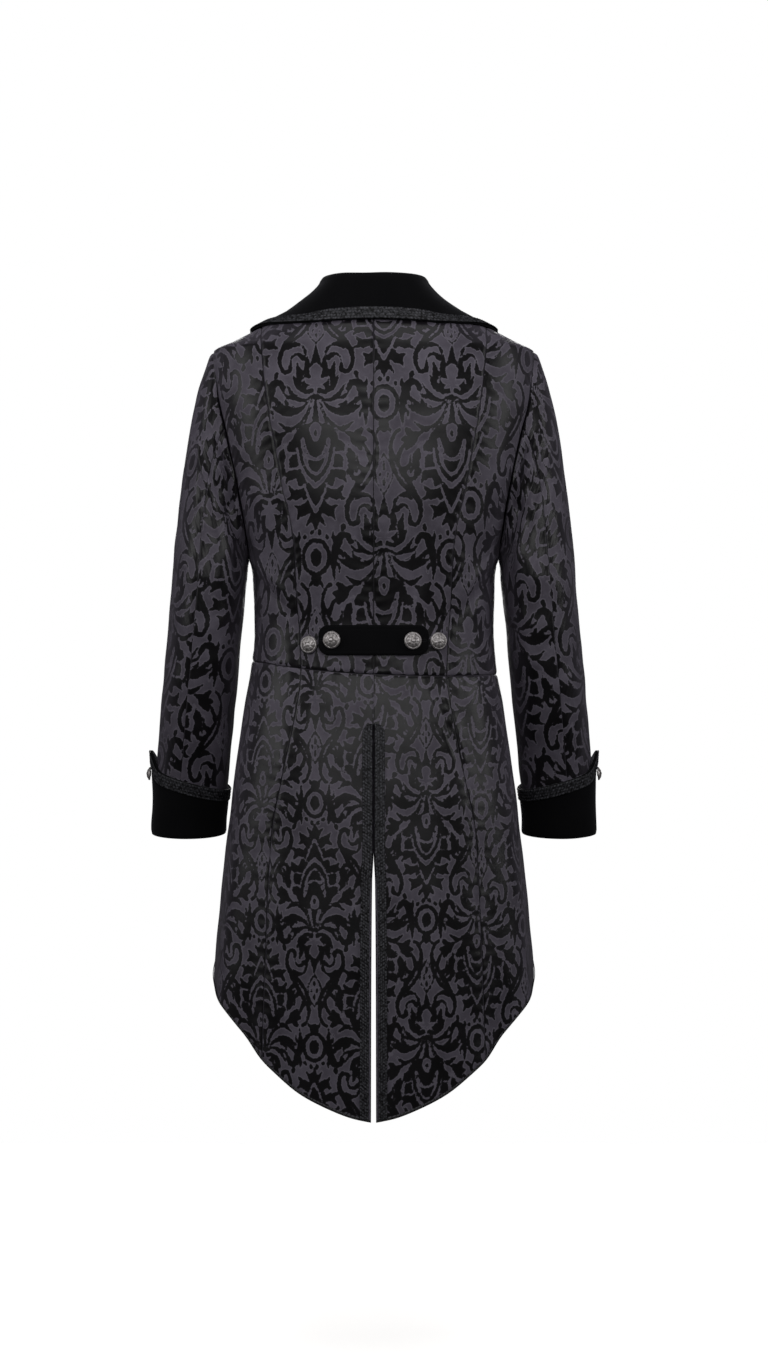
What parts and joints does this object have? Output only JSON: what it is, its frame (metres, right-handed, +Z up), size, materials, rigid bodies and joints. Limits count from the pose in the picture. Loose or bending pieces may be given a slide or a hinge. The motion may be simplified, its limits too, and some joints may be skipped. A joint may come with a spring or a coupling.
{
  "type": "tailcoat",
  "caption": "Fitted damask tailcoat, filled out as worn, with a velvet collar, lapels, turned-back cuffs and half belt, domed buttons and a split, pointed tail.",
  "frame": {"origin": "centre plane of the body, midway between the neck points, where the shoulder seams meet the neck", "axes": "+Z up along the wearer's body, -Y the way the wearer faces, +X towards the wearer's left arm"},
  "size_m": [0.616, 0.2702, 1.1052],
  "materials": {
    "damask": "woven jacquard, satin ground with a darker figure",
    "velvet": "cut pile",
    "braid": "plaited cord",
    "binding": "satin tape",
    "pewter": "antiqued, mottled"
  },
  "bodies": {
    "root": {"back_centre_left": "damask", "back_centre_right": "damask", "back_side_left": "damask", "back_side_right": "damask", "belt_button_inner_left": "pewter", "belt_button_inner_right": "pewter", "belt_button_outer_left": "pewter", "belt_button_outer_right": "pewter", "collar": "velvet", "collar_braid": "braid", "cuff_braid_left": "braid", "cuff_braid_right": "braid", "cuff_button_left": "pewter", "cuff_button_right": "pewter", "cuff_left": "velvet", "cuff_right": "velvet", "cutaway_binding_left": "binding", "cutaway_binding_right": "binding", "front_button_1": "pewter", "front_button_2": "pewter", "front_button_3": "pewter", "front_left": "damask", "front_right": "damask", "half_belt": "velvet", "hem_binding_left": "binding", "hem_binding_right": "binding", "lapel_braid_left": "braid", "lapel_braid_right": "braid", "lapel_left": "velvet", "lapel_right": "velvet", "sleeve_under_left": "damask", "sleeve_under_right": "damask", "sleeve_upper_left": "damask", "sleeve_upper_right": "damask", "tail_back_left": "damask", "tail_back_right": "damask", "tail_side_left": "damask", "tail_side_right": "damask", "vent_braid_left": "braid", "vent_braid_right": "braid"}
  },
  "joints": []
}
